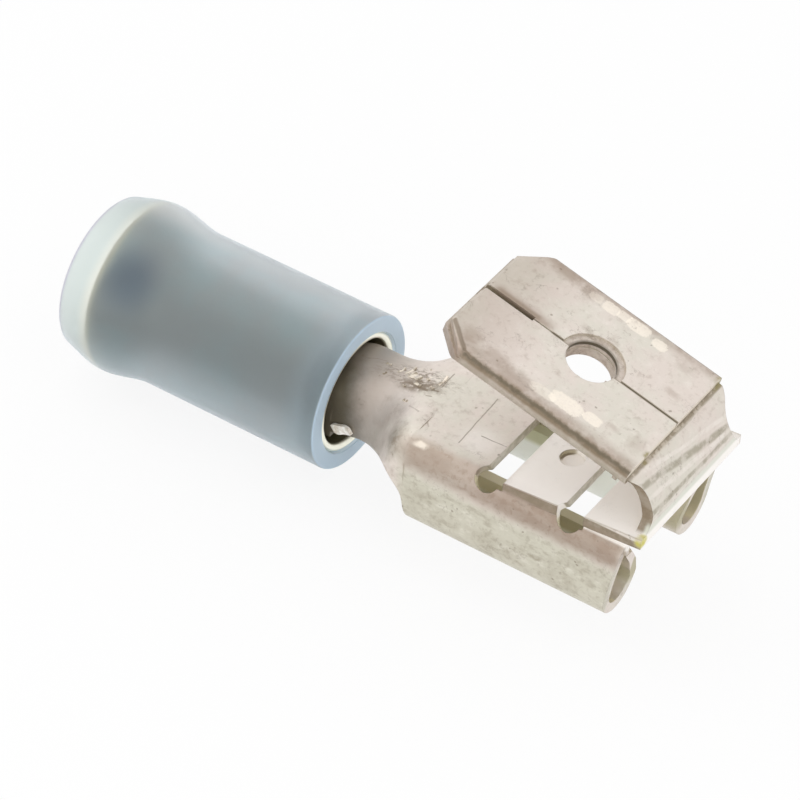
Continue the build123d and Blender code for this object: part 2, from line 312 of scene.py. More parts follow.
tinSet = {
    # tones of the plate
    "warm": (0.75, 0.67, 0.61),
    "cool": (0.72, 0.68, 0.60),
    "pale": (0.86, 0.80, 0.74),
    "green": (0.60, 0.575, 0.475),
    "streak": (0.80, 0.77, 0.68),
    "mark": (0.40, 0.36, 0.28),
    # a brown for mottling and bruises, also painted shade on the rolls' shoulders, the tab's folded
    # sides and beside the seam
    "shoulder": (0.36, 0.275, 0.215),
    # painted shade where the neck goes into the sleeve
    "shadeBrown": (0.36, 0.305, 0.26),
    # olive tones for painted shade in hollows, inside the receptacle and inside the rolls
    "olive": (0.46, 0.42, 0.28),
    "hollow": (0.80, 0.74, 0.53),
    # a pale tone: painted light under the tab, and a paler blot on the plate
    "clean": (0.99, 0.95, 0.91),
    # painted shade and painted light inside the receptacle
    "paleShade": (0.93, 0.89, 0.69),
    "dim": (0.60, 0.60, 0.41),
    "litPale": (0.98, 1.0, 0.94),
    "strip": (0.76, 0.78, 0.69),
    # dark brown: grime along the seam and the tab end's foot, and painted shade in tight bends, along
    # the plate's cut edge and at the detent's rim
    "grimeAndShade": (0.27, 0.215, 0.15),
    "crack": (0.22, 0.17, 0.12),
    "brown": (0.22, 0.165, 0.105),
    # near black: painted shade on the neck in the sleeve and in the tab's fold crease, and the dark line
    # between the tab's layers
    "darkestBrown": (0.10, 0.083, 0.052),
    "cream": (0.92, 0.84, 0.73),
    "tarnish": (0.33, 0.28, 0.12),
    "brass": (0.60, 0.55, 0.10),
    # places on the plate, in mm
    "tabTip": (15.82, 7.42),  # x and z
    "tabSlope": 14.86,  # degrees
    "tabHole": 4.51,  # along the tab from its tip
    "detent": (20.34, -0.88, 0.45),  # x, y and radius
    "windows": (18.17, 21.40),  # x of their cut faces across the plate
    "wander": 0.22,  # how far a ragged edge strays
    "noises": {
        # scale, detail and roughness
        "cloud": (0.42, 4, 0.6),
        "mottle": (1.9, 5, 0.65),
        "grain": (11.0, 3, 0.6),
        "spots": (4.6, 4, 0.62),
        "streaks": (2.2, 5, 0.66),
        "waver": (1.1, 3, 0.55),
        "shreds": (5.2, 5, 0.72),
    },
    "zones": {
        # each mark's soft limits: a measure, where the mark begins and where it is full
        "tab": (("height", -0.9, -0.8), ("z", 4.2, 4.6)),
        "tabTop": (("height", -0.2, -0.1),),
        "flank": (("side", 3.15, 3.42), ("roundZ", 1.45, 0.85), ("x", 14.8, 15.4)),
        "shoulder": (
            ("side", 2.80, 3.20), ("roundZ", 0.95, 1.60), ("z", 2.70, 2.50),
            ("roundX", 14.7, 15.5), ("roundX", 24.3, 23.6),
        ),
        "inRoll": (("side", 2.2, 2.6), ("z", 2.45, 2.25), ("x", 14.8, 15.2)),
        "tabSides": (("side", 2.35, 3.00), ("along", 8.2, 8.0)),
        "fold": (("frayed", 2.90, 3.05), ("height", -0.38, -0.24), ("along", 0.9, 1.2)),
        "foldLine": (("finer", 2.97, 3.03), ("finer", 3.13, 3.06)),
        "underFold": (("side", 3.0, 3.1), ("height", -0.26, -0.40)),
        "tipCorner": (("along", 1.25, 1.05), ("height", -0.06, -0.16), ("side", 1.2, 2.4)),
        "tabEnd": (("along", 8.085, 8.11), ("along", 8.3, 8.2)),
        "tabEndFoot": (("height", -0.22, -0.32),),
        "tarnish": (("along", 7.92, 8.10), ("along", 8.30, 8.15)),
        "coinedRing": (("fromHole", 1.27, 1.22), ("height", -0.03, -0.07)),
        "betweenLayers": (
            ("fromHole", 1.04, 0.97), ("height", -0.08, -0.12), ("height", -0.27, -0.23),
        ),
        "web": (("x", 23.55, 23.75), ("z", 5.1, 4.95), ("z", 2.9, 3.1)),
        "webCut": (
            ("x", 23.3, 23.6), ("sideways", 0.45, 0.75), ("side", 3.12, 3.02),
            ("z", 5.0, 4.8), ("z", 2.75, 2.9),
        ),
        "webFoot": (("x", 24.30, 24.45), ("z", 3.30, 3.05), ("side", 3.2, 3.0)),
        "plateCut": (
            ("side", 3.30, 3.35), ("side", 3.42, 3.38), ("sideways", 0.7, 0.9),
            ("z", 2.15, 2.28), ("z", 2.78, 2.70), ("x", 18.6, 19.0),
        ),
        "windowCut": (("turnX", 0.4, 0.7), ("side", 3.35, 3.2), ("z", 1.6, 1.9), ("z", 3.1, 3.0)),
        "detentRim": (("z", 2.2, 2.3), ("z", 3.1, 3.0)),
        "litUnderTab": (("z", 3.0, 2.8), ("z", 1.9, 2.1), ("side", 3.34, 3.26), ("x", 18.4, 19.4)),
        "inside": (("side", 1.95, 1.85), ("z", 1.5, 1.2), ("x", 15.4, 15.8)),
        "pastDetent": (("x", 20.2, 20.4),),
        "mouth": (("x", 22.4, 22.6), ("z", -1.1, -0.5)),
        "rollEnd": (("side", 2.6, 2.9), ("x", 22.6, 23.0), ("z", -1.3, -0.6), ("z", 2.2, 2.0)),
        "groove": (
            ("side", 0.30, 0.20), ("height", -0.02, -0.10), ("height", -0.52, -0.46),
            ("along", 3.2, 2.9),
        ),
        "grooveLip": (("y", 0.36, 0.20), ("y", 0.04, 0.10), ("along", 2.3, 2.1), ("along", 0.2, 0.6)),
        "seam": (("side", 0.075, 0.045), ("along", 2.7, 2.9)),
        "neck": (("neck", 14.1, 11.7),),
        "neckInSleeve": (("deepNeck", 11.6, 10.4),),
        "besideSeam": (
            ("roundY", -0.05, 0.08), ("roundY", 0.60, 0.10), ("along", 0.1, 0.6), ("along", 3.0, 2.4),
        ),
    },
    "blots": {
        # single spots: middle, half lengths and softness of the edge
        "torn": ((13.40, -0.12, 2.05), (1.75, 0.50, 0.60), 0.5),
        "stain": ((13.85, -0.55, 2.15), (0.90, 0.32, 0.45), 0.6),
        "neckHollowShade": ((14.56, -3.10, 1.80), (0.40, 0.60, 0.55), 0.9),
        "polish": ((17.35, -1.95, 2.40), (0.75, 0.65, 0.40), 0.7),
        "bruise": ((16.0, -3.25, 1.95), (1.15, 0.55, 0.42), 0.6),
        "knock": ((15.65, -3.18, 2.27), (0.26, 0.12, 0.10), 0.5),
        "brassCorner": ((24.50, -3.20, 2.72), (0.24, 0.24, 0.20), 0.4),
    },
    "wornPatches": [
        # along the tab from its tip, across it, half sizes, and how clear it is
        (3.05, 2.56, 0.26, 0.20, 0.45),
        (3.68, 2.55, 0.32, 0.24, 0.85),
        (4.22, 2.60, 0.26, 0.20, 0.75),
        (4.86, 2.56, 0.46, 0.26, 0.95),
        (5.80, 2.46, 0.29, 0.22, 0.9),
        (4.05, -2.46, 0.50, 0.22, 0.45),
        (4.92, -2.28, 0.62, 0.33, 1.0),
        (5.93, -2.16, 0.35, 0.23, 1.0),
    ],
    "tabBlots": [
        # along, across, half sizes and strength of the brown bruises
        (1.70, 2.70, 0.80, 0.45, 0.60),
        (2.75, 2.55, 0.60, 0.42, 0.50),
        (0.95, -2.30, 0.60, 0.50, 0.45),
        (3.00, -2.55, 1.00, 0.40, 0.50),
        (7.60, -1.90, 0.50, 0.60, 0.25),
        (7.00, 2.30, 0.60, 0.35, 0.25),
        (7.25, 0.98, 0.50, 0.22, 0.35),
        (2.10, -2.45, 0.80, 0.40, 0.45),
        (6.60, -1.90, 0.40, 0.25, 0.30),
        (3.60, 1.10, 0.30, 0.18, 0.30),
    ],
    "tarnished": [(2.92, 0.30), (-2.00, 0.16)],  # across the tab's end, and half width
    "flankBlots": [
        # middle, half lengths and strength
        ((19.10, -3.54, -0.24), (1.10, 0.50, 0.42), 0.34),
        ((16.20, -3.54, 0.05), (0.70, 0.50, 0.60), 0.26),
        ((21.60, -3.54, -0.35), (0.60, 0.50, 0.35), 0.30),
        ((20.71, -3.54, 0.11), (0.30, 0.50, 0.10), 0.75),
        ((22.40, -3.54, 0.70), (0.80, 0.50, 0.30), 0.28),
        ((17.60, -3.54, -0.90), (0.90, 0.50, 0.25), 0.26),
    ],
    "lines": [
        # scribed lines, scratches and cracks, the first three being painted shade in the crease of the
        # tab's corner fold: from, to, half width, depth of tone
        ((15.94, -2.13, 7.35), (16.86, -2.96, 7.13), 0.120, 0.85),
        ((16.86, -2.95, 7.08), (17.20, -3.05, 6.93), 0.060, 0.85),
        ((16.86, -2.95, 7.08), (16.83, -3.12, 6.86), 0.045, 0.60),
        ((16.56, 0.30, 2.40), (16.70, -2.42, 2.40), 0.030, 0.60),
        ((17.15, -1.67, 2.40), (18.13, -1.62, 2.42), 0.028, 0.70),
        ((15.05, -1.95, 2.40), (15.40, -2.35, 2.40), 0.050, 0.35),
        ((14.18, -1.67, 2.19), (14.70, -1.90, 2.39), 0.050, 0.35),
        ((11.05, 0.04, 1.69), (11.37, 0.08, 1.72), 0.050, 0.85),
        ((11.37, 0.08, 1.72), (11.62, 0.21, 1.73), 0.040, 0.80),
        ((11.62, 0.21, 1.73), (12.00, 0.26, 1.78), 0.035, 0.70),
        ((13.11, -0.60, 1.95), (13.47, -0.50, 2.08), 0.045, 0.80),
        ((13.47, -0.50, 2.08), (13.95, -0.68, 2.22), 0.090, 0.90),
        ((13.95, -0.68, 2.22), (14.28, -0.72, 2.32), 0.080, 0.90),
        ((14.45, -0.66, 2.35), (14.68, -0.60, 2.39), 0.045, 0.80),
        ((14.66, -0.35, 2.38), (14.62, 0.52, 2.39), 0.035, 0.60),
        ((13.72, -1.05, 2.12), (13.95, -1.12, 2.20), 0.040, 0.60),
        ((14.45, -1.00, 2.33), (14.62, -0.96, 2.37), 0.050, 0.60),
    ],
    "creases": [
        # across the web, lines of painted shade where dark and of painted highlight where pale, with
        # dents in the bump: height in the middle, rise across it, half width, strength, and whether it
        # is dark
        (4.92, 0.00, 0.030, 0.45, True),
        (4.50, -0.15, 0.100, 0.65, False),
        (4.16, -0.15, 0.170, 0.85, True),
        (3.84, -0.08, 0.120, 0.65, False),
        (3.50, -0.02, 0.120, 0.85, True),
        (3.30, 0.00, 0.060, 0.45, False),
    ],
    "cracks": [(0.8, 3.1), (1.5, 8.7)],  # scale and shift of each net of fine cracks
}


class TinPlate:
    # the tin's colour, painted mark by mark over the measures that place the marks
    def __init__(self, g, s):
        self.g, self.s = g, s
        self.place = g.millimetres()
        x, y, z = g.axes(self.place)
        turnX, turnY = g.axes(g.add("ShaderNodeTexCoord", {}, {}, "Normal"), "XY")

        # along the tab from its tip, and square to its top face
        slope = math.radians(s["tabSlope"])
        tipX, tipZ = s["tabTip"]
        along = (x - tipX) * math.cos(slope) + (tipZ - z) * math.sin(slope)
        height = (x - tipX) * math.sin(slope) + (z - tipZ) * math.cos(slope)
        fromHole = along - s["tabHole"]

        # a place that wanders a little, for ragged edges
        drift = g.add(
            "ShaderNodeTexNoise", {}, {"Vector": self.place, "Scale": 2.6, "Detail": 3.0}, "Color"
        )
        self.drift = g.scale(g.vector("SUBTRACT", drift, (0.5, 0.5, 0.5)), s["wander"])
        self.ragged = g.vector("ADD", self.place, self.drift)
        roundX, roundY, roundZ = g.axes(self.ragged)

        self.mottle = self.noise("mottle", self.place)
        self.grain = self.noise("grain", self.place)
        self.spotted = self.noise("spots", self.ragged)
        drawn = g.add("ShaderNodeMapping", {}, {"Vector": self.ragged, "Scale": (0.55, 1.0, 1.3)})
        self.streaked = self.noise("streaks", drawn)

        side = abs(y)
        self.measures = {
            "x": x, "y": y, "z": z, "side": side, "turnX": turnX, "sideways": abs(turnY),
            "roundX": roundX, "roundY": roundY, "roundZ": roundZ, "along": along, "height": height,
            "frayed": side + (self.spotted - 0.5) * 0.22,
            "finer": side + (self.spotted - 0.5) * 0.12,
            "fromHole": (fromHole * fromHole + y * y) ** 0.5,
            "neck": x + (self.mottle - 0.5) * 0.6 + 0.3 * y,
            "deepNeck": x + (self.mottle - 0.5) * 0.6 + 0.6 * y,
        }
        self.outer = g.step(turnY * y, -0.9, 0.1)  # 0 on faces that look in towards the middle
        self.onTab = self.zone("tab")
        self.onTop = self.zone("tabTop")
        self.colour = s["warm"]

    def paint(self, share, tone):
        self.colour = self.g.tint(share, self.colour, self.s[tone])

    def noise(self, name, place):
        return self.g.noise(place, *self.s["noises"][name])

    def zone(self, name):
        # 1 inside all of the zone's limits, 0 outside
        first, *rest = (
            self.g.step(self.measures[measure], begins, full)
            for measure, begins, full in self.s["zones"][name]
        )
        return math.prod(rest, start=first)

    def spot(self, name):
        return self.g.blot(self.ragged, *self.s["blots"][name])

    def spots(self, begins, full):
        # the fine mottling, 1 past full
        return self.g.step(self.spotted, begins, full)


def cloudTones(tin):
    # cloudy tone of the tin
    g = tin.g
    tin.paint(g.step(tin.noise("cloud", tin.place), 0.38, 0.62), "cool")
    tin.paint(g.step(tin.mottle, 0.52, 0.78) * 0.55, "pale")
    tin.paint(g.step(tin.mottle, 0.46, 0.24) * 0.38, "shoulder")
    tin.paint(tin.spots(0.46, 0.28) * 0.22, "shoulder")
    tin.paint(tin.spots(0.55, 0.72) * 0.30, "pale")


def rollTones(tin):
    # greenish streaked flanks of the rolls, partly their own tone and partly painted shade of their
    # sides, and a band of painted shade along their shoulders
    g = tin.g
    flank = tin.zone("flank") * tin.outer
    tin.paint(flank * 0.92, "green")
    tin.paint(flank * g.step(tin.streaked, 0.52, 0.70) * 0.55, "streak")
    tin.paint(flank * g.step(tin.mottle, 0.56, 0.30) * 0.34, "mark")
    tin.paint(flank * g.step(tin.streaked, 0.48, 0.32) * 0.60, "mark")
    tin.paint(flank * tin.spots(0.46, 0.32) * 0.50, "mark")
    for middle, size, strength in tin.s["flankBlots"]:
        blot = g.blot(tin.ragged, middle, size, 0.6) * (0.5 + 0.5 * tin.spots(0.58, 0.40))
        tin.paint(blot * strength * 1.3, "mark")
    depth = 0.62 + 0.24 * g.step(tin.measures["x"], 17.0, 19.5) + 0.10 * g.step(tin.streaked, 0.60, 0.38)
    depth = depth + 0.14 * tin.spots(0.50, 0.34)
    # painted shade: a brown band along the rolls' shoulders
    tin.paint(tin.zone("shoulder") * tin.outer * depth, "shoulder")
    # painted shade: a pale olive on the rolls' inward faces
    tin.paint((1 - tin.outer) * tin.zone("inRoll") * 0.85, "hollow")


def tabTones(tin):
    # brown bruises of the tab, and painted shade on its folded sides, along its fold and on its tip
    # corner
    g = tin.g
    along, roundY = (tin.measures[name] for name in ("along", "roundY"))
    for middle, across, halfLong, halfWide, depth in tin.s["tabBlots"]:
        blot = g.step(abs(along - middle) / halfLong + tin.spotted, 1.5, 0.7)
        blot = blot * g.step(abs(roundY - across) / halfWide + tin.mottle, 1.5, 0.7)
        tin.paint(blot * tin.onTab * depth, "shoulder")
    tin.paint(tin.onTab * g.step(along, 3.4, 0.4) * 0.38, "shoulder")
    # painted shade on the tab's rounded folded sides
    sides = tin.zone("tabSides") * tin.onTab
    tin.paint(sides * (0.34 + 0.46 * g.step(tin.mottle, 0.30, 0.62)), "shoulder")
    # the fold's dark band is partly stain and partly painted shade; the line in its crease and the skirt
    # under it are painted shade
    tin.fold = tin.zone("fold") * tin.onTab
    tin.paint(tin.fold * (0.80 + 0.20 * g.step(tin.mottle, 0.32, 0.60)), "brown")
    tin.paint(tin.zone("foldLine") * tin.fold * 0.62, "darkestBrown")
    tin.paint(tin.zone("underFold") * tin.onTab * (0.35 + 0.35 * tin.spots(0.56, 0.36)), "mark")
    # painted shade on the tab's chamfered tip corner
    tin.paint(tin.zone("tipCorner") * tin.onTab * (0.40 + 0.30 * tin.spots(0.56, 0.36)), "shoulder")


def tabWear(tin):
    # rubbed patches on the tab's top, its sheared end, and the ring round its hole
    g = tin.g
    along, y, roundY = (tin.measures[name] for name in ("along", "y", "roundY"))
    rough = (tin.spotted - 0.5) * 1.2 + (tin.grain - 0.5) * 1.8
    worn = 0.0
    for middle, across, halfLong, halfWide, clear in tin.s["wornPatches"]:
        far = abs((along - middle) / halfLong) ** 3.0
        out = abs((y - across) / halfWide) ** 3.0
        worn = g.step(far + out + rough, 1.40, 0.70) * clear + worn
    tin.worn = worn * tin.onTop * (0.72 + 0.28 * g.step(tin.grain, 0.36, 0.52))
    tin.paint(tin.worn * (0.60 + 0.35 * tin.mottle), "cream")
    end = tin.zone("tabEnd") * tin.onTab
    tin.paint(end * 0.75, "cream")
    tin.paint(end * tin.zone("tabEndFoot") * (0.45 + 0.40 * tin.spots(0.36, 0.56)), "grimeAndShade")
    tarnish = 0.0
    for across, halfWide in tin.s["tarnished"]:
        tarnish = g.step(abs(roundY - across), halfWide * 1.5, halfWide * 0.4) + tarnish
    tarnish = tarnish * tin.onTab * tin.zone("tarnish")
    tin.paint(tarnish * (0.40 + 0.45 * tin.spots(0.40, 0.58)), "tarnish")
    ring = tin.zone("coinedRing") * tin.onTab
    tin.paint(ring * (0.30 + 0.25 * tin.spots(0.56, 0.36)), "shoulder")
    tin.paint(tin.zone("betweenLayers") * tin.onTab * 0.95, "darkestBrown")


def webTones(tin):
    # creases pressed across the web, drawn as lines of painted shade and painted highlight, painted
    # shade on the web's cut side, a painted shadow along the plate's cut edge, and the cut edges of the
    # windows
    g = tin.g
    x, y, z = (tin.measures[name] for name in "xyz")
    drawn = g.add("ShaderNodeMapping", {}, {"Vector": tin.place, "Scale": (1.0, 0.45, 1.0)})
    waver = (tin.noise("waver", drawn) - 0.5) * 0.22
    onWeb = tin.zone("web")
    tin.dents = 0.0
    # each crease is a line of painted shade or painted highlight over a dent
    for level, rise, halfWide, depth, dark in tin.s["creases"]:
        line = g.step(abs(z - y * rise - level + waver), halfWide, halfWide * 0.3) * onWeb
        line = line * (0.35 + 0.65 * g.step(tin.streaked, 0.38, 0.58)) * depth
        tin.paint(line, "mark" if dark else "pale")
        tin.dents = tin.dents + line if dark else tin.dents - line * 0.6
    # painted shade on the web's near cut side
    tin.cut = tin.zone("webCut")
    tin.paint(tin.cut * (0.80 + 0.2 * g.step(tin.mottle, 0.35, 0.6)), "brown")
    tin.paint(tin.zone("webFoot") * 0.70, "strip")
    # painted shadow along the plate's cut edge, over the gap to the roll's shoulder
    tin.paint(tin.zone("plateCut") * (0.60 + 0.4 * g.step(tin.mottle, 0.35, 0.6)), "grimeAndShade")
    ledge = 0.0
    for start in tin.s["windows"]:
        ledge = ledge + g.step(abs(x - start), 0.10, 0.05)
    tin.ledge = ledge * tin.zone("windowCut")
    tin.paint(tin.ledge * (0.45 + 0.35 * tin.spots(0.60, 0.40)), "mark")

    # a painted shadow: a dark crescent along one side of the detent's rim
    detentX, detentY, detentRadius = tin.s["detent"]
    reachX, reachY = x - detentX, y - detentY
    reach = (reachX * reachX + reachY * reachY) ** 0.5
    bend = g.step(abs(reach - detentRadius + 0.05), 0.10, 0.05) * tin.zone("detentRim")
    tin.bend = bend * g.step(reachY * 0.37 - reachX * 0.93, 0.18, 0.34)
    tin.paint(tin.bend * 0.85, "grimeAndShade")


def neckTones(tin):
    # torn skin of tin on the neck's top, with dark cracks and bright flecks
    g = tin.g
    tin.torn = tin.spot("torn")
    drawn = g.add("ShaderNodeMapping", {}, {
        "Vector": tin.ragged, "Scale": (0.55, 1.5, 1.0), "Rotation": (0, 0, 0.35)
    })
    tin.shreds = tin.noise("shreds", drawn)
    tin.paint(tin.torn * g.step(tin.shreds, 0.53, 0.40) * 0.88, "crack")
    tin.paint(tin.torn * g.step(tin.shreds, 0.56, 0.66) * 0.8, "cream")
    tin.paint(tin.spot("stain") * tin.spots(0.70, 0.42) * 0.92, "crack")
    # painted shade in the hollow of the neck's flank
    tin.paint(tin.spot("neckHollowShade") * (0.55 + 0.30 * tin.spots(0.62, 0.36)), "crack")
    tin.paint(tin.spot("polish") * 0.50, "clean")
    tin.paint(tin.spot("bruise") * 0.5, "shoulder")
    tin.paint(tin.spot("knock") * 0.70, "cream")


def scratches(tin):
    # scribed lines, fine cracks where two noises cross their middle level, and specks
    g = tin.g
    nudged = g.vector("ADD", tin.place, g.scale(tin.drift, 0.25))
    tin.lines = 0.0
    for start, end, halfWide, depth in tin.s["lines"]:
        tin.lines = g.stroke(nudged, start, end, halfWide) * depth + tin.lines
    tin.paint(tin.lines, "crack")
    tin.cracks = 0.0
    for scale, shift in tin.s["cracks"]:
        moved = g.add("ShaderNodeMapping", {}, {"Vector": tin.place, "Location": (shift, shift, 0)})
        line = abs(g.noise(moved, scale, 6, 0.62) - 0.5)
        runs = g.step(g.noise(moved, 0.9, 2), 0.56, 0.64)
        tin.cracks = g.step(line, 0.006, 0.0015) * runs + tin.cracks
    tin.paint(tin.cracks * 0.38, "crack")
    cells = g.add("ShaderNodeTexVoronoi", {}, {
        "Vector": tin.ragged, "Scale": 2.2, "Randomness": 1.0
    }, "Distance")
    few = g.step(g.noise(tin.place, 1.3, 1), 0.50, 0.60)
    tin.specks = g.step(cells, 0.13, 0.07) * few
    tin.paint(tin.specks * 0.55, "crack")


def hollowTones(tin):
    # painted shade: an olive tint in hollows and a dark tint in the tightest bends, both found by
    # occlusion, with painted light under the tab and painted shade and light inside the receptacle
    g, s = tin.g, tin.s
    x, y, z = (tin.measures[name] for name in "xyz")
    near = g.add("ShaderNodeAmbientOcclusion", {"samples": 8}, {"Distance": 0.30 * mm}, "AO")
    wide = g.add("ShaderNodeAmbientOcclusion", {"samples": 8}, {"Distance": 1.6 * mm}, "AO")
    # painted light: the plate under the tab is made paler, though the tab shades it
    tin.clean = tin.zone("litUnderTab") * (1 - tin.ledge) * (1 - tin.bend)
    tin.paint(tin.clean * 0.9, "clean")
    # painted shade: an olive tint where occlusion finds a hollow
    tin.film = g.step(wide, 0.62, 0.25) * (1 - tin.clean * 0.8)
    # painted shade: a dark tint in the tightest, most occluded bends
    tight = g.step(near, 0.65, 0.20) * g.step(wide, 0.25, 0.55)
    tin.paint(tin.film * 0.75, "hollow")
    tin.paint(tight * 0.55, "grimeAndShade")

    # painted shade and painted light inside the receptacle: its lower faces lit, its upper faces shaded,
    # darker on the far half and olive on the near half past the detent, where the far half is lit
    farHalf, nearHalf = g.step(y, -0.5, 0.5), g.step(y, 0.5, -0.5)
    pastDetent = tin.zone("pastDetent")
    shadowed = g.tint(farHalf, s["paleShade"], s["dim"])
    shadowed = g.tint(pastDetent * nearHalf * 0.65, shadowed, s["olive"])
    shadowed = g.tint(pastDetent * farHalf, shadowed, s["litPale"])
    shadowed = g.tint(g.step(z, 0.00, 0.30), s["litPale"], shadowed)
    tin.inside = tin.zone("inside")
    tin.colour = g.tint(tin.inside * g.step(x, 22.4, 22.2), tin.colour, shadowed)
    # painted shade in olive at the rolls' mouths and on the inward faces of their ends
    tin.paint(tin.inside * tin.zone("mouth") * 0.9, "olive")
    tin.paint((1 - tin.outer) * tin.zone("rollEnd") * 0.6, "olive")

    # painted shade: the neck darkens into the sleeve
    tin.paint(tin.zone("neck") * 0.85, "shadeBrown")
    tin.paint(tin.zone("neckInSleeve") * 0.93, "darkestBrown")


def seamTones(tin):
    # the seam down the tab is brown; painted shade fills its open part and lies along the groove's far
    # side
    tin.paint(tin.zone("grooveLip") * tin.onTop * 0.65, "brown")
    groove = tin.zone("groove") * tin.onTab
    deeper = tin.g.step(tin.measures["along"], 0.3, 2.2)
    tin.paint(groove * (0.70 + 0.20 * deeper), "brown")
    tin.paint(tin.zone("seam") * tin.onTop * 0.80, "grimeAndShade")
    # painted shade beside the groove
    tin.paint(tin.zone("besideSeam") * tin.onTop * 0.72, "shoulder")


def tinnedBrass(s):
    material, g = newMaterial("tinnedBrass")
    tin = TinPlate(g, s)
    cloudTones(tin)
    rollTones(tin)
    print("plate and rolls painted")
    tabTones(tin)
    tabWear(tin)
    webTones(tin)
    print("tab and web painted")
    neckTones(tin)
    scratches(tin)
    hollowTones(tin)
    seamTones(tin)
    print("neck, scratches and hollows painted")
    tin.paint(tin.spot("brassCorner") * (0.75 + 0.25 * tin.spots(0.56, 0.44)), "brass")

    edge = g.add("ShaderNodeBevel", {"samples": 4}, {"Radius": 0.05 * mm})
    relief = tin.mottle * 0.45 + tin.grain * 0.10 - tin.cracks * 0.4 - tin.specks * 0.3
    relief = relief + tin.worn * 0.3 - tin.lines * 0.8 + tin.torn * tin.shreds * 2.0
    bump = g.add("ShaderNodeBump", {}, {
        "Strength": 0.6,
        "Distance": 0.03 * mm,
        "Height": relief - tin.dents * 0.8,
        "Normal": edge,
    })
    marked = tin.worn + tin.film + tin.lines + tin.fold + tin.cut + tin.torn
    dull = g.step(marked + tin.clean + tin.inside, 0.0, 1.0)
    bsdf = g.add("ShaderNodeBsdfPrincipled", {}, {
        "Base Color": tin.colour,
        "Metallic": 0.62 - dull * 0.5,
        "Roughness": 0.36 + 0.20 * tin.mottle + dull * 0.18,
        "Normal": bump,
    })
    g.add("ShaderNodeOutputMaterial", {}, {"Surface": bsdf})
    return material


sleeveSet = {
    # millimetres along the barrel's axis from the wire end, and radii out from it
    "length": 11.12,
    "radius": 3.00,
    "frontEdge": 0.10,
    "bellStart": 3.50,
    "bellCrest": (1.55, 3.32),
    "rim": (0.06, 2.98),
    "rimSlope": 0.28,
    "mouth": 2.34,
    "mouthLip": 0.25,
    "mouthTaper": 0.04,
    "mouthSlope": 0.35,
    "waist": 1.93,
    "waistFront": 9.91,
    "bellEnd": 4.40,
    "bellBore": 2.84,
    "bellSlope": -0.12,
    "tubeStart": 1.25,
    "tubeEnd": 11.06,
    "tubeWall": 0.28,
    "gap": 0.02,  # between the tube and the sleeve
    "segments": 144,
}


def flow(start, end, steps=10):
    # (x, radius) points from start to end, each given as (x, radius, slope)
    x0, r0, m0 = start
    x1, r1, m1 = end
    span = x1 - x0
    points = []
    for i in range(1, steps + 1):
        t = i / steps
        blend = 3 * t**2 - 2 * t**3
        swing = m0 * span * (t - 2 * t**2 + t**3) + m1 * span * (t**3 - t**2)
        points.append((x0 + span * t, r0 + (r1 - r0) * blend + swing))
    return points


def roundOff(x, radius, size, start, end, steps=5):
    # (x, radius) points round a small edge, by angles from the +x direction
    turn = [math.radians(start + (end - start) * i / steps) for i in range(steps + 1)]
    return [(x + size * math.cos(a), radius + size * math.sin(a)) for a in turn]


def tubeCurve(s, offset):
    # from the tube's front end to its wire end, offset out from its outer side
    mouth = (s["tubeEnd"] - s["mouthLip"], s["mouth"] - s["mouthTaper"] + offset)
    waist = s["waist"] + offset
    bell = (s["tubeStart"], s["bellBore"] + offset, s["bellSlope"])
    points = [mouth]
    points += flow((*mouth, s["mouthSlope"]), (s["waistFront"], waist, 0))
    points += flow((s["bellEnd"], waist, 0), bell)
    return points


def turnRing(name, profile, segments):
    # a ring turned about X from a closed profile of (x, radius) points
    bpy.ops.object.select_all(action="DESELECT")
    x, radius = profile[0]
    bpy.ops.mesh.primitive_circle_add(vertices=segments, radius=radius * mm)
    ring = bpy.context.object
    ring.name = name
    ring.rotation_euler = (0, math.pi / 2, 0)
    bpy.ops.object.transform_apply(rotation=True)
    bpy.ops.object.mode_set(mode="EDIT")
    bpy.ops.mesh.select_all(action="SELECT")
    bpy.ops.transform.translate(value=(x * mm, 0, 0))
    for newX, newRadius in profile[1:] + profile[:1]:
        step = ((newX - x) * mm, 0, 0)
        bpy.ops.mesh.extrude_region_move(TRANSFORM_OT_translate={"value": step})
        grow = newRadius / radius
        bpy.ops.transform.resize(value=(1, grow, grow), center_override=(newX * mm, 0, 0))
        x, radius = newX, newRadius
    bpy.ops.mesh.select_all(action="SELECT")
    bpy.ops.mesh.remove_doubles(threshold=0.001 * mm)
    bpy.ops.mesh.normals_make_consistent(inside=False)
    bpy.ops.object.mode_set(mode="OBJECT")
    bpy.ops.object.shade_smooth_by_angle(angle=math.radians(32))
    return ring


def turnSleeve(s):
    rimX, rimRadius = s["rim"]
    crestX, crestRadius = s["bellCrest"]
    edge = s["frontEdge"]
    profile = [(0, s["bellBore"]), (0, rimRadius - rimX), (rimX, rimRadius)]
    profile += flow((rimX, rimRadius, s["rimSlope"]), (crestX, crestRadius, 0), 8)
    profile += flow((crestX, crestRadius, 0), (s["bellStart"], s["radius"], 0), 12)
    profile += roundOff(s["length"] - edge, s["radius"] - edge, edge, 90, 0)
    profile += [(s["length"], s["mouth"] + 2 * s["gap"])]
    profile += tubeCurve(s, s["gap"])
    return turnRing("nylonSleeve", profile, s["segments"])


def turnTube(s):
    wall = s["tubeWall"]
    lip = roundOff(s["tubeEnd"] - wall / 2, s["mouth"] - wall / 2, wall / 2, -90, 90, 8)
    outer = tubeCurve(s, 0)
    inner = tubeCurve(s, -wall)
    return turnRing("supportTube", lip + outer + inner[::-1], s["segments"])


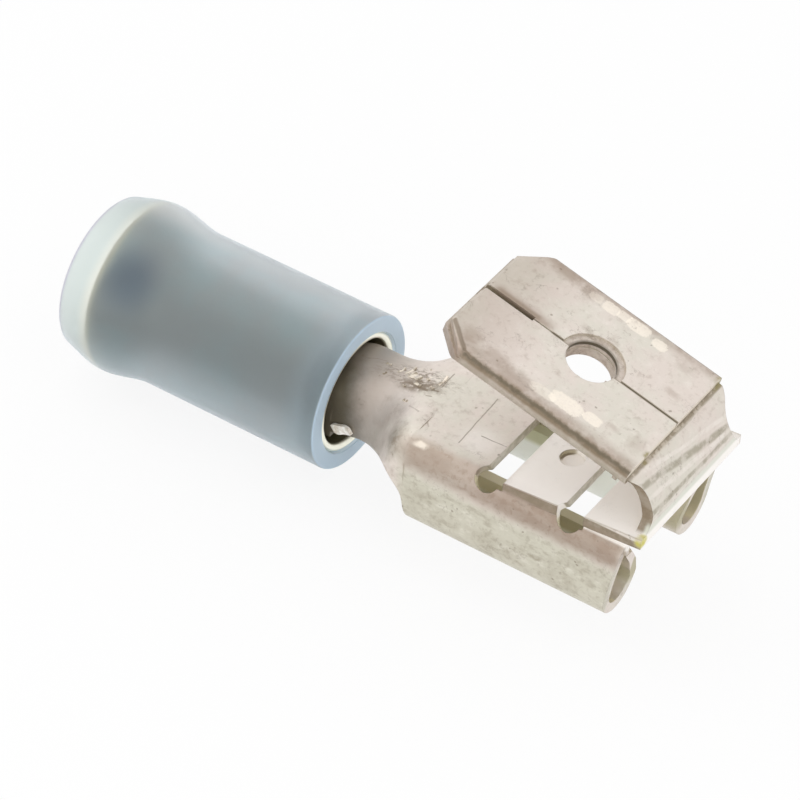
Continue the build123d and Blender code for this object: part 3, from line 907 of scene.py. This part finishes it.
tubeTinSet = {
    "tone": (0.37, 0.365, 0.315),
    "dull": (0.30, 0.285, 0.24),
    # a pale tone painted as light on the tube's front lip, and a dark one painted as shade inside
    "lip": (0.98, 0.97, 0.84),
    "grimeAndShade": (0.09, 0.075, 0.02),
    "roughness": 0.30,
    # mm along the barrel, where each tone begins and where it is full
    "lipStart": (10.6, 10.8),
    "insideFront": (10.98, 10.85),
    "deepShade": (7.0, 9.5),
}


def tinnedCopper(s):
    material, g = newMaterial("tinnedCopper")
    place = g.millimetres()
    mottle = g.noise(place, 1.6, 4)
    x, y, z = g.axes(place)
    turnY, turnZ = g.axes(g.add("ShaderNodeTexCoord", {}, {}, "Normal"), "YZ")
    inwards = g.step(turnY * y + turnZ * z, -0.2, -0.6)  # 1 on the bore, 0 outside
    inside = inwards * g.step(x, *s["insideFront"])
    colour = g.tint(mottle * 0.4, s["tone"], s["dull"])
    # painted light: a paler front lip
    colour = g.tint(g.step(x, *s["lipStart"]), colour, s["lip"])
    # painted shade inside the tube, darkest towards its front end
    colour = g.tint(inside * (0.30 + 0.64 * g.step(x, *s["deepShade"])), colour, s["grimeAndShade"])
    bump = g.add("ShaderNodeBump", {}, {"Strength": 0.3, "Distance": 0.02 * mm, "Height": mottle})
    bsdf = g.add("ShaderNodeBsdfPrincipled", {}, {
        "Base Color": colour,
        "Metallic": 0.9,
        "Roughness": s["roughness"] + 0.15 * mottle,
        "Normal": bump,
    })
    g.add("ShaderNodeOutputMaterial", {}, {"Surface": bsdf})
    return material


nylonSet = {
    "body": (0.66, 0.79, 0.83),
    "grey": (0.70, 0.73, 0.75),
    "dusk": (0.38, 0.48, 0.60),
    "shade": (0.30, 0.36, 0.38),
    "lit": (0.96, 0.97, 0.97),
    "tail": (0.79, 0.86, 0.83),
    "cream": (0.94, 0.95, 0.86),
    "rim": (0.70, 0.68, 0.78),
    "face": (0.70, 0.86, 1.0),
    "milk": (0.42, 0.57, 0.72),
    "roughness": 0.38,
    # middle, half lengths and softness of the edge
    "smudge": ((2.55, -2.20, 2.20), (0.85, 1.1, 1.0), 0.8),
    "frontShade": ((10.86, -2.25, 1.95), (0.42, 1.5, 1.4), 0.7),
    # mm, where each tone begins and where it is full: across the barrel,
    "litSide": (3.2, 4.2),
    "shadeSide": (3.2, -0.5),
    # inside the wall,
    "heartDepth": (2.97, 2.90),
    # and along the barrel
    "heartStart": (9.0, 10.2),
    "faceStart": (11.05, 11.11),
    "creamTail": (1.70, 1.40),
    "paleTail": (1.40, 0.90),
    "rimEnd": (0.16, 0.05),
}


def blueNylon(s):
    material, g = newMaterial("blueNylon")
    place = g.millimetres()
    x, y, z = g.axes(place)
    cloud = g.noise(place, 0.30, 3)
    colour = g.tint(g.step(cloud, 0.40, 0.62) * 0.8, s["body"], s["grey"])
    colour = g.tint(g.blot(place, *s["smudge"]) * 0.95, colour, s["dusk"])
    level = y + z  # rises across the barrel from its lower -y side to its upper +y side
    colour = g.tint(g.step(level, *s["litSide"]) * 0.8, colour, s["lit"])
    colour = g.tint(g.step(level, *s["shadeSide"]) * 0.34, colour, s["shade"])
    colour = g.tint(g.blot(place, *s["frontShade"]), colour, s["shade"])
    reach = (y * y + z * z) ** 0.5
    heart = g.step(x, *s["heartStart"]) * g.step(reach, *s["heartDepth"])
    face = g.step(x, *s["faceStart"])
    colour = g.tint(g.step(heart + face, 0.0, 1.0), colour, s["face"])

    # the clear tail beyond the tube, with a pale line at the tube's end
    tail = x + (cloud - 0.5) * 0.5
    colour = g.tint(g.step(tail, *s["creamTail"]), colour, s["cream"])
    colour = g.tint(g.step(tail, *s["paleTail"]), colour, s["tail"])
    colour = g.tint(g.step(x, *s["rimEnd"]), colour, s["rim"])
    grain = g.noise(place, 6.0, 3)
    bump = g.add("ShaderNodeBump", {}, {"Strength": 0.15, "Distance": 0.02 * mm, "Height": grain})
    bsdf = g.add("ShaderNodeBsdfPrincipled", {}, {
        "Base Color": colour,
        "Roughness": s["roughness"] + 0.08 * grain,
        "IOR": 1.53,
        "Transmission Weight": 0.88,
        "Sheen Weight": 0.8,
        "Sheen Roughness": 0.35,
        "Sheen Tint": (0.88, 0.94, 1.0),
        "Normal": bump,
    })
    milky = g.add("ShaderNodeBsdfPrincipled", {}, {
        "Base Color": g.tint(cloud, s["milk"], s["face"]),
        "Roughness": 0.45,
        "Normal": bump,
    })
    surface = g.add("ShaderNodeMixShader", {}, {0: face * 0.7, 1: bsdf, 2: milky})
    g.add("ShaderNodeOutputMaterial", {}, {"Surface": surface})
    return material


tornTinSet = {
    "thickness": 0.035,
    "columns": 8,  # along each sliver
    "neckFaces": (-0.24, 0.0, 0.97),  # the way the neck's top faces
    "slivers": [
        # where each sliver starts and ends, its width and how far its tip lifts, in mm
        ((12.70, -0.16, 1.90), (12.86, 0.14, 1.94), 0.09, 0.07),
        ((13.00, -0.12, 1.97), (13.22, 0.28, 2.03), 0.12, 0.09),
        ((13.16, -0.02, 2.02), (13.70, -0.22, 2.16), 0.34, 0.06),
        ((13.88, -0.08, 2.23), (14.06, -0.22, 2.28), 0.10, 0.08),
        ((14.50, -0.30, 2.37), (14.58, 0.16, 2.39), 0.11, 0.12),
        ((14.25, -0.48, 2.31), (14.47, -0.58, 2.36), 0.12, 0.07),
        ((13.24, -0.60, 1.97), (13.40, -0.72, 2.00), 0.10, 0.06),
        ((13.68, -1.30, 1.98), (13.92, -1.40, 2.08), 0.12, 0.05),
        ((12.28, -0.44, 1.81), (12.36, -0.33, 1.83), 0.08, 0.05),
        ((12.02, 0.16, 1.78), (12.27, 0.12, 1.83), 0.10, 0.05),
        ((13.45, 0.30, 2.07), (13.75, 0.42, 2.14), 0.10, 0.06),
        ((13.60, -0.45, 2.13), (13.95, -0.60, 2.23), 0.13, 0.06),
    ],
    "barrelChip": ((11.12, -1.70, -0.50), (11.94, -1.80, -0.12), 0.44, 0.04),
    "chipFaces": (-0.10, -0.95, -0.20),
    "chipThickness": 0.105,
    "chipSide": (-1.45, -1.60),  # the chip lies past these y values, and the slivers before
    # tones of the slivers, then of the chip
    "dark": ((0.36, 0.30, 0.22), (0.70, 0.62, 0.52)),
    "light": ((0.82, 0.74, 0.63), (1.0, 0.96, 0.89)),
}


def bendSliver(start, end, width, lift, faces, thickness, columns):
    # a thin leaf of tin from start to end, tapering and curling up off the metal
    start, run = Vector(start), Vector(end) - Vector(start)
    forward = run.normalized()
    across = Vector(faces).cross(forward).normalized()
    bpy.ops.object.select_all(action="DESELECT")
    bpy.ops.mesh.primitive_grid_add(x_subdivisions=columns, y_subdivisions=3, size=1)
    leaf = bpy.context.object
    bpy.ops.object.mode_set(mode="EDIT")
    bpy.ops.transform.resize(value=(run.length * mm, width * mm, 1))
    for column in range(columns + 1):
        share = column / columns
        bpy.ops.mesh.select_all(action="DESELECT")
        mesh = bmesh.from_edit_mesh(leaf.data)
        spot = (share - 0.5) * run.length * mm
        for vert in mesh.verts:
            vert.select = abs(vert.co.x - spot) < run.length * mm / (5 * columns)
        mesh.select_flush_mode()
        bmesh.update_edit_mesh(leaf.data)
        # narrower towards both ends, with a slight wave in width and height
        taper = 0.55 + 0.45 * math.sin(math.pi * (0.15 + 0.85 * share))
        taper += 0.12 * math.sin(9 * share)
        rise = (lift * share**2 + 0.02 * math.sin(7 * share)) * mm
        centre = (spot, 0, 0)
        bpy.ops.transform.resize(value=(1, taper, 1), center_override=centre)
        bpy.ops.transform.translate(value=(0, 0, rise))
    bpy.ops.object.mode_set(mode="OBJECT")
    wall = leaf.modifiers.new("wall", "SOLIDIFY")
    wall.thickness = thickness * mm
    bpy.ops.object.modifier_apply(modifier=wall.name)
    turn = Matrix((forward, across, forward.cross(across))).transposed()
    leaf.rotation_euler = turn.to_euler()
    leaf.location = (start + run / 2) * mm
    bpy.ops.object.transform_apply(location=True, rotation=True, scale=True)
    return leaf


def tearTin(s):
    leaves = [
        bendSliver(*sliver, s["neckFaces"], s["thickness"], s["columns"])
        for sliver in s["slivers"]
    ]
    leaves.append(
        bendSliver(*s["barrelChip"], s["chipFaces"], s["chipThickness"], s["columns"])
    )
    bpy.ops.object.select_all(action="DESELECT")
    for leaf in leaves:
        leaf.select_set(True)
    bpy.context.view_layer.objects.active = leaves[0]
    bpy.ops.object.join()
    torn = bpy.context.object
    torn.name = "tornTin"
    bpy.ops.object.shade_smooth_by_angle(angle=math.radians(40))
    return torn


def brightTin(s):
    material, g = newMaterial("brightTin")
    place = g.millimetres()
    blotchy = g.noise(place, 5.0, 4)
    chip = g.step(g.axes(place, "Y")[0], *s["chipSide"])
    dark = g.tint(chip, *s["dark"])
    light = g.tint(chip, *s["light"])
    colour = g.tint(g.step(blotchy, 0.34, 0.60), dark, light)
    bump = g.add("ShaderNodeBump", {}, {"Strength": 0.5, "Distance": 0.02 * mm, "Height": blotchy})
    bsdf = g.add("ShaderNodeBsdfPrincipled", {}, {
        "Base Color": colour,
        "Metallic": 0.40 - chip * 0.25,
        "Roughness": 0.36 + 0.2 * blotchy,
        "Normal": bump,
    })
    g.add("ShaderNodeOutputMaterial", {}, {"Surface": bsdf})
    return material


def dress(node, material):
    for slot in frame["nodes"][node].material_slots:
        slot.material = material


def fit(piece, material):
    piece.data.materials.clear()
    piece.data.materials.append(material)
    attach(piece, "root")


dress("terminal_body", tinnedBrass(tinSet))
copper = tinnedCopper(tubeTinSet)
dress("support_sleeve", copper)
nylon = blueNylon(nylonSet)
dress("insulation_sleeve", nylon)
print("plate, tube and sleeve dressed")

tube = turnTube(sleeveSet)
fit(tube, copper)
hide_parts("support_sleeve")
sleeve = turnSleeve(sleeveSet)
fit(sleeve, nylon)
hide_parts("insulation_sleeve")
fit(tearTin(tornTinSet), brightTin(tornTinSet))
print("turned pieces and torn tin fitted")
